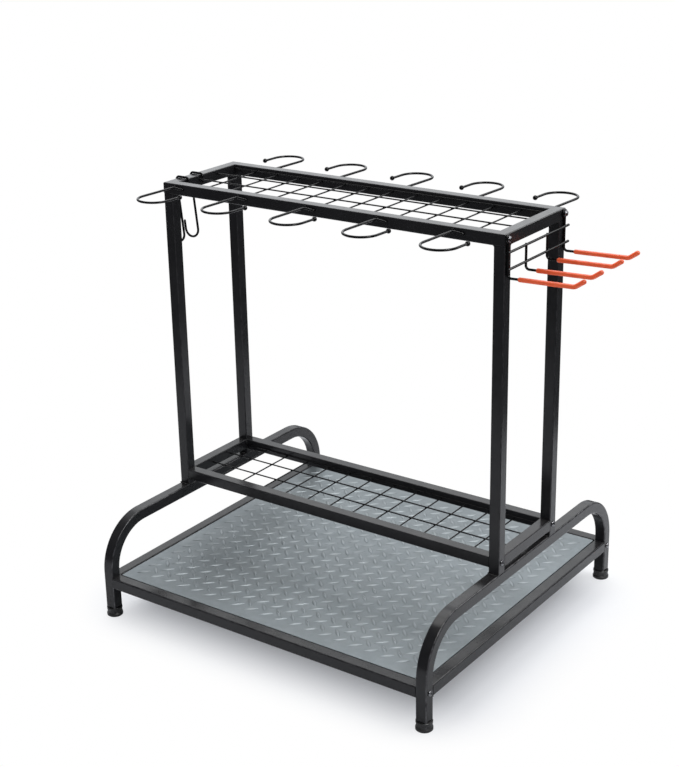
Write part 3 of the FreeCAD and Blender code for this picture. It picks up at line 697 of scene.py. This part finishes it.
# %% Dip the four prongs
WIRE_OUT, HOOK_DROP, BARE_WIRE = 2 * MM, 67 * MM, 18 * MM
PRONG, UPTURN = Vector((110, 0, 4)) * MM, Vector((17, 0, 12)) * MM
for number in range(1, 5):
    low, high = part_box(f"hook_sleeve_{number}")
    foot_of_hook = Vector((rack_x + side_x + WIRE_OUT, (low.y + high.y) / 2, rack_top - HOOK_DROP))
    start = foot_of_hook + PRONG.normalized() * BARE_WIRE
    prong_end = foot_of_hook + PRONG
    tip = prong_end + UPTURN
    sleeve = grow(sleeve_tree, f"dipped_sleeve_{number}", SLEEVE,
                  carrier_mesh("prong_line", [start, prong_end, tip], [(0, 1), (1, 2)]), sharp=60)
    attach(sleeve, "rack")
    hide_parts(f"hook_sleeve_{number}")
print("each sleeve has", len(sleeve.data.polygons), "faces, and ends at x =", round(tip.x, 4))

# %% [markdown]
# ## Screws with a cross recess
# Ten domed screws enter the rack from its two ends. One screw is turned on a
# lathe, a ring of points revolved round Z, and its recess is cut by two
# tapered wedges. The recipe then puts a copy on each place, faces it outwards
# and gives each one its own turn, as a screwdriver would leave it.

# %% One screw head
def lathe(name, outline, steps):
    """Revolves (radius, height) pairs round Z."""
    work = bmesh.new()
    turns = [2 * math.pi * k / steps for k in range(steps)]
    rings = [[work.verts.new((r * math.cos(turn), r * math.sin(turn), z)) for turn in turns]
             for r, z in outline]
    for inner, outer in zip(rings, rings[1:]):
        for k in range(steps):
            work.faces.new((inner[k - 1], inner[k], outer[k], outer[k - 1]))
    work.faces.new(rings[-1])
    work.faces.new(list(reversed(rings[0])))
    bmesh.ops.recalc_face_normals(work, faces=work.faces)
    mesh = bpy.data.meshes.new(name)
    work.to_mesh(mesh)
    work.free()
    turned = bpy.data.objects.new(name, mesh)
    scene.collection.objects.link(turned)
    return turned


def wedge(name, length, width, top, depth):
    """A slot cutter that narrows downwards."""
    corners = [(sx * length * k, sy * width * k, z) for z, k in ((top, 0.55), (top - depth, 0.30))
               for sx, sy in ((-1, -1), (1, -1), (1, 1), (-1, 1))]
    faces = [(0, 1, 2, 3), (7, 6, 5, 4), (0, 4, 5, 1), (1, 5, 6, 2), (2, 6, 7, 3), (3, 7, 4, 0)]
    mesh = bpy.data.meshes.new(name)
    mesh.from_pydata(corners, [], faces)
    cutter = bpy.data.objects.new(name, mesh)
    scene.collection.objects.link(cutter)
    return cutter


# %% Cut the recess
HEAD_R, RIM_TOP, DOME = 4.8, 0.75, 2.25
outline = [(2.4, -3.0), (2.4, 0.0), (4.55, 0.0), (HEAD_R, 0.2), (HEAD_R, RIM_TOP)]
for rise in (12, 25, 38, 52, 66, 80):
    outline.append((HEAD_R * math.cos(math.radians(rise)), RIM_TOP + DOME * math.sin(math.radians(rise))))
screw = lathe("screw", [(r * MM, z * MM) for r, z in outline], 40)
SLOT_LONG, SLOT_SHORT, SLOT_TOP, SLOT_DEPTH = 5.6 * MM, 1.7 * MM, 3.3 * MM, 2.1 * MM
cutters = [wedge("slot_a", SLOT_LONG, SLOT_SHORT, SLOT_TOP, SLOT_DEPTH),
           wedge("slot_b", SLOT_SHORT, SLOT_LONG, SLOT_TOP, SLOT_DEPTH)]
for cutter in cutters:
    cut = screw.modifiers.new("cut", "BOOLEAN")
    cut.object = cutter
    cut.operation = "DIFFERENCE"
    cut.solver = "EXACT"
cut_mesh = bpy.data.meshes.new_from_object(screw.evaluated_get(bpy.context.evaluated_depsgraph_get()))
screw.modifiers.clear()
screw.data = cut_mesh
for cutter in cutters:
    bpy.data.objects.remove(cutter)
print("a screw has", len(cut_mesh.polygons), "faces")

# %% Recipe: screws on points
screw_tree, gin, gout = recipe_tree("screws_on_points", {"Screw": None, "Middle X": 0.0, "Seed": 7})
calc = sums(screw_tree, "ShaderNodeMath")
outward = vector(screw_tree, calc("SIGN", calc("SUBTRACT", point_place(screw_tree)[0], gin["Middle X"])))
roll = place(screw_tree, "FunctionNodeRandomValue", {"Seed": gin["Seed"]}, data_type="FLOAT")
turned = place(screw_tree, "FunctionNodeAxisAngleToRotation",
               {"Axis": (0, 0, 1), "Angle": calc("MULTIPLY", roll.outputs[1], math.pi)})
faced = place(screw_tree, "FunctionNodeAlignRotationToVector",
              {"Rotation": turned.outputs[0], "Vector": outward}, axis="Z")
original = place(screw_tree, "GeometryNodeObjectInfo", {"Object": gin["Screw"]})
points = place(screw_tree, "GeometryNodeMeshToPoints", {0: gin["Geometry"]})
copies = place(screw_tree, "GeometryNodeInstanceOnPoints",
               {"Points": points.outputs[0], "Instance": original.outputs["Geometry"],
                "Rotation": faced.outputs[0]})
finish_tree(screw_tree, gout, copies.outputs[0], black_zinc)

# %% Drive the ten screws
def middle(node_name):
    low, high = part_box(node_name)
    return (low + high) / 2


EYELET, EYELET_Y, EYELET_DROP = 4 * MM, 88 * MM, 7.5 * MM
leg_y, leg_z = middle("foot_back_right").y, middle("tray_front_rail").z
post_y, post_z = rail_face_y - tube / 2, middle("lower_front_rail").z
places = [(rack_x + sx * side_x, sy * y, z) for y, z in ((leg_y, leg_z), (post_y, post_z))
          for sx in (-1, 1) for sy in (-1, 1)]
places += [(rack_x + side_x + EYELET, sy * EYELET_Y, rack_top - EYELET_DROP) for sy in (-1, 1)]
screws = grow(screw_tree, "cross_head_screws", {"Screw": screw, "Middle X": rack_x, "Seed": 7},
              carrier_mesh("screw_places", places), sharp=32)
bpy.data.objects.remove(screw)
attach(screws, "rack")
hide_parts("leg_screws", "post_screws", "side_rack_screws")
print("screws:", len(places), "faces:", len(screws.data.polygons))

# %% [markdown]
# ## Weld beads
# Where tubes meet, a welder leaves a bead: a row of overlapping ripples. The
# carrier holds the seams as edges, and the recipe turns them to curves, sets
# a ripple on every step and leans each one along the seam. The coat covers
# the beads like the rest of the frame.

# %% Recipe: ripples along seams
bead, gin, gout = recipe_tree("weld_beads", {"Width": 0.0035, "Pitch": 0.0014, "Seed": 11})
calc = sums(bead, "ShaderNodeMath")
seams = place(bead, "GeometryNodeMeshToCurve", {0: gin["Geometry"]})
steps = place(bead, "GeometryNodeCurveToPoints",
              {"Curve": seams.outputs[0], "Length": gin["Pitch"]}, mode="LENGTH")
ripple = place(bead, "GeometryNodeMeshUVSphere",
               {"Segments": 10, "Rings": 6, "Radius": calc("MULTIPLY", gin["Width"], 0.5)})
squash = place(bead, "FunctionNodeRandomValue",
               {"Min": (0.85, 0.85, 0.62), "Max": (1.05, 1.05, 0.74), "Seed": gin["Seed"]},
               data_type="FLOAT_VECTOR")
ripples = place(bead, "GeometryNodeInstanceOnPoints",
                {"Points": steps.outputs[0], "Instance": ripple.outputs[0],
                 "Rotation": steps.outputs["Rotation"], "Scale": squash.outputs[0]})
finish_tree(bead, gout, ripples.outputs[0], weld_coat)

# %% Where the seams are
LEG, PAD_REACH, PAD_INNER, PAD_OUTER, INSET = 20 * MM, 12 * MM, 17.5 * MM, 2.5 * MM, 1.2 * MM
tray_low, tray_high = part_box("tray_right_rail")
lower_low, lower_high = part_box("lower_right_rail")
post_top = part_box("post_front_right")[1].z
leg_inner_x, leg_inner_y, arch_top = side_x - LEG, tray_high.y, arch_high.z
seam_points, seam_edges = [], []


def seam(first, second):
    """One straight seam, repeated at the four corners of the rack."""
    for sx in (-1, 1):
        for sy in (-1, 1):
            for x, y, z in (first, second):
                seam_points.append((rack_x + sx * x, sy * y, z))
            seam_edges.append((len(seam_points) - 2, len(seam_points) - 1))


for y in (post_y - PAD_REACH, post_y + PAD_REACH):
    seam((side_x - PAD_INNER, y, arch_top), (side_x - PAD_OUTER, y, arch_top))
seam((inner_x, inner_y, post_top), (inner_x, rail_face_y - INSET, post_top))
seam((inner_x, inner_y, post_top), (side_x - INSET, inner_y, post_top))
seam((inner_x, inner_y, lower_low.z + INSET), (inner_x, inner_y, lower_high.z - INSET))
seam((inner_x + INSET, inner_y, lower_low.z), (side_x - INSET, inner_y, lower_low.z))
seam((leg_inner_x, leg_inner_y, tray_low.z + INSET), (leg_inner_x, leg_inner_y, tray_high.z - INSET))
seam((leg_inner_x + INSET, leg_inner_y, tray_low.z), (side_x - INSET, leg_inner_y, tray_low.z))
beads = grow(bead, "weld_beads", {"Width": 3.2 * MM, "Pitch": 1.4 * MM, "Seed": 11},
             carrier_mesh("seams", seam_points, seam_edges), sharp=70)
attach(beads, "rack")
print("seams:", len(seam_edges), "faces:", len(beads.data.polygons))

# %% [markdown]
# ## Floor and backdrop
# The rack stands on a sheet of pale studio paper that keeps its soft shadow.
# To the camera the paper fades into the white backdrop: the fade starts just
# inside the feet and is complete 20 cm further out, so that no edge shows. It
# is a mix with white that only camera rays see, so the rack gets no light from
# it. Under and near the rack a sixth of that white is mixed in already, in a
# cool blue: a painted lightening and a painted blue tint of the shadow there.
# The black tubes mirror the sheet itself, bright low down, and past its edge
# the dim room.

# %% Floor
LEFT, RIGHT, FRONT, BACK = -1.1, 0.75, -1.1, 0.85
floor = bpy.data.objects.new("floor", bpy.data.meshes.new("floor"))
floor.data.from_pydata([(LEFT, FRONT, 0), (RIGHT, FRONT, 0), (RIGHT, BACK, 0), (LEFT, BACK, 0)],
                       [], [(0, 1, 2, 3)])
scene.collection.objects.link(floor)

# %% Paper, and how it fades
# Under the rack a sixth of a cool white is mixed in for the camera: a painted lightening and blue tint of the
# shadow.
INSIDE_X, INSIDE_Y, FADE, LEAST_WHITE = 0.07, 0.12, 0.2, 0.16
PAPER_TONES = (0.885, 0.905, 0.95), (0.915, 0.935, 0.97)
SHADOW_TINT_BLUE, WHITE = (0.90, 0.93, 1.0), (1.0, 1.0, 1.0)
paper, tree, shader = new_finish("floor_paper", roughness=0.85, specular_ior_level=0.1)
calc = sums(tree, "ShaderNodeMath")
spot = object_place(tree)
inner_corner = (side_x - INSIDE_X, arch_high.y - INSIDE_Y, 0)
for operation, *values in (("SUBTRACT", (rack_x, 0, 0)), ("ABSOLUTE",), ("SUBTRACT", inner_corner),
                           ("MAXIMUM", (0, 0, 0))):
    inputs = dict(enumerate([spot, *values]))
    spot = place(tree, "ShaderNodeVectorMath", inputs, operation=operation).outputs[0]
reach = place(tree, "ShaderNodeVectorMath", {0: spot}, operation="LENGTH").outputs["Value"]
far = spread_out(tree, reach, 0.0, FADE, LEAST_WHITE, soft=True)
tree.links.new(mix_colour(tree, mottled(tree, 3.0), *PAPER_TONES), shader.inputs["Base Color"])
# Near the rack this camera-only glow is cool blue: a painted tint of the shadow.
camera_white_and_shadow_tint = place(tree, "ShaderNodeEmission",
              {"Color": mix_colour(tree, far, SHADOW_TINT_BLUE, WHITE), "Strength": 1.0})
seen = place(tree, "ShaderNodeLightPath").outputs["Is Camera Ray"]
fade = place(tree, "ShaderNodeMixShader",
             {"Fac": calc("MULTIPLY", far, seen), 1: shader.outputs[0], 2: camera_white_and_shadow_tint.outputs[0]})
tree.links.new(fade.outputs[0], tree.nodes["Material Output"].inputs[0])
floor.data.materials.append(paper)

# %% [markdown]
# ## Light
# Five soft boxes stand round the rack. The overhead one lights it and lays its
# shadow. One behind is what the tops of the tubes mirror, and one on the right
# brightens the paper, which the lower right faces mirror. Strip and rim light
# nothing by themselves: they show in glossy reflections only and draw the thin
# lines of light on the bends of the legs and along the corners of the tubes.
# The strip hangs high, so that the plate and the top rails don't flash when the
# rack is seen from behind. The world adds an even fill. The camera sees plain
# white, and glossy rays see a white backdrop behind the rack and a dim room on
# the camera's side.

# %% World
FILL, DIM_ROOM, MIRRORED_WHITE = 0.55, 0.08, (0.93, 0.965, 1.0)
world = bpy.data.worlds.new("studio")
world.use_nodes = True
scene.world = world
tree = world.node_tree
tree.nodes.clear()
calc = sums(tree, "ShaderNodeMath")
way = split(tree, place(tree, "ShaderNodeTexCoord").outputs["Generated"])
behind = calc("ADD", calc("MULTIPLY", way[0], -0.60), calc("MULTIPLY", way[1], 0.80))
wide = spread_out(tree, behind, 0.25, 0.75, soft=True)
raised = spread_out(tree, way[2], -0.05, 0.12, soft=True)
backdrop = calc("ADD", calc("MULTIPLY", calc("MULTIPLY", wide, raised), 1.0 - DIM_ROOM), DIM_ROOM)
rays = place(tree, "ShaderNodeLightPath").outputs
seen = rays["Is Camera Ray"]
mirrored = calc("MAXIMUM", rays["Is Glossy Ray"], rays["Is Transmission Ray"])
fill = place(tree, "ShaderNodeBackground", {"Color": (*WHITE, 1.0), "Strength": FILL})
shown = place(tree, "ShaderNodeBackground", {"Color": mix_colour(tree, seen, MIRRORED_WHITE, WHITE),
                                             "Strength": calc("MAXIMUM", backdrop, seen)})
swap = place(tree, "ShaderNodeMixShader",
             {"Fac": calc("MAXIMUM", mirrored, seen), 1: fill.outputs[0], 2: shown.outputs[0]})
place(tree, "ShaderNodeOutputWorld", {"Surface": swap.outputs[0]})


# %% Soft boxes
def pose(spot, across, up, away):
    """A matrix that lays an object's own X, Y and Z along three directions."""
    return Matrix.Translation(spot) @ Matrix((across, up, away)).transposed().to_4x4()


def soft_box(name, spot, aim, width, depth, watts, long_way=(0, 0, 1), glints_only=False):
    """A lamp at spot that shines at aim, with its depth laid along long_way."""
    light = bpy.data.lights.new(name, "AREA")
    light.shape = "RECTANGLE"
    light.size, light.size_y = width, depth
    light.energy = watts
    lamp = bpy.data.objects.new(name, light)
    away = (Vector(spot) - Vector(aim)).normalized()
    across = Vector(long_way).cross(away).normalized()
    lamp.matrix_world = pose(spot, across, away.cross(across), away)
    lamp.visible_diffuse = not glints_only
    scene.collection.objects.link(lamp)


soft_box("overhead", spot=(-0.5, 0.65, 2.3), aim=(-0.1, 0.0, 0.2), width=2.1, depth=1.6, watts=35.0)
soft_box("strip", spot=(1.84, -0.54, 2.36), aim=(-0.3, -0.3, 0.25), width=0.5, depth=2.0, watts=80.0,
         long_way=(-0.21, 0.81, 0.54), glints_only=True)
soft_box("rim", spot=(1.0, 1.5, 1.45), aim=(0.3, 0.0, 0.3), width=0.6, depth=0.6, watts=5.0, glints_only=True)
soft_box("behind", spot=(-1.3, 1.75, 1.5), aim=(-0.1, 0.0, 0.6), width=2.2, depth=0.9, watts=4.5)
soft_box("right", spot=(0.95, 0.55, 0.8), aim=(0.6, 0.3, 0.0), width=0.5, depth=0.8, watts=3.8)

# %% [markdown]
# ## Camera
# The camera stands in front of the rack and to its right, a little above the
# top. Its place and its lens come from matching the corners of the frame in
# the photograph. The shift keeps the rack where the picture has it.

# %% Camera
IMAGE_WIDTH, IMAGE_HEIGHT = 679, 767
FOCAL_PIXELS, MIDDLE_X, MIDDLE_Y = 1544.9, 307.4, 377.4
STAND = Vector((rack_x + 1.40887, -2.00927, 1.32755))
azimuth, elevation, roll = (math.radians(angle) for angle in (37.04, 20.37, -1.61))
flat = math.cos(elevation)
back = Vector((math.sin(azimuth) * flat, -math.cos(azimuth) * flat, math.sin(elevation)))
level_right = Vector((math.cos(azimuth), math.sin(azimuth), 0))
level_up = back.cross(level_right)
right = math.cos(roll) * level_right + math.sin(roll) * level_up
up = math.cos(roll) * level_up - math.sin(roll) * level_right
lens = bpy.data.cameras.new("camera")
camera = bpy.data.objects.new("camera", lens)
scene.collection.objects.link(camera)
camera.matrix_world = pose(STAND, right, up, back)
lens.sensor_fit = "HORIZONTAL"
lens.lens = lens.sensor_width * FOCAL_PIXELS / IMAGE_WIDTH
lens.shift_x = (IMAGE_WIDTH / 2 - MIDDLE_X) / IMAGE_WIDTH
lens.shift_y = (MIDDLE_Y - IMAGE_HEIGHT / 2) / IMAGE_WIDTH
lens.clip_end = 50
scene.camera = camera
scene.view_settings.view_transform = "Standard"
print(f"lens {lens.lens:.1f} mm, shift {lens.shift_x:.4f}, {lens.shift_y:.4f}")

# %% [markdown]
# ## Finish
# The dressed rack must stay the size of the CAD model.

# %% Bring the scene up to date
bpy.context.view_layer.update()
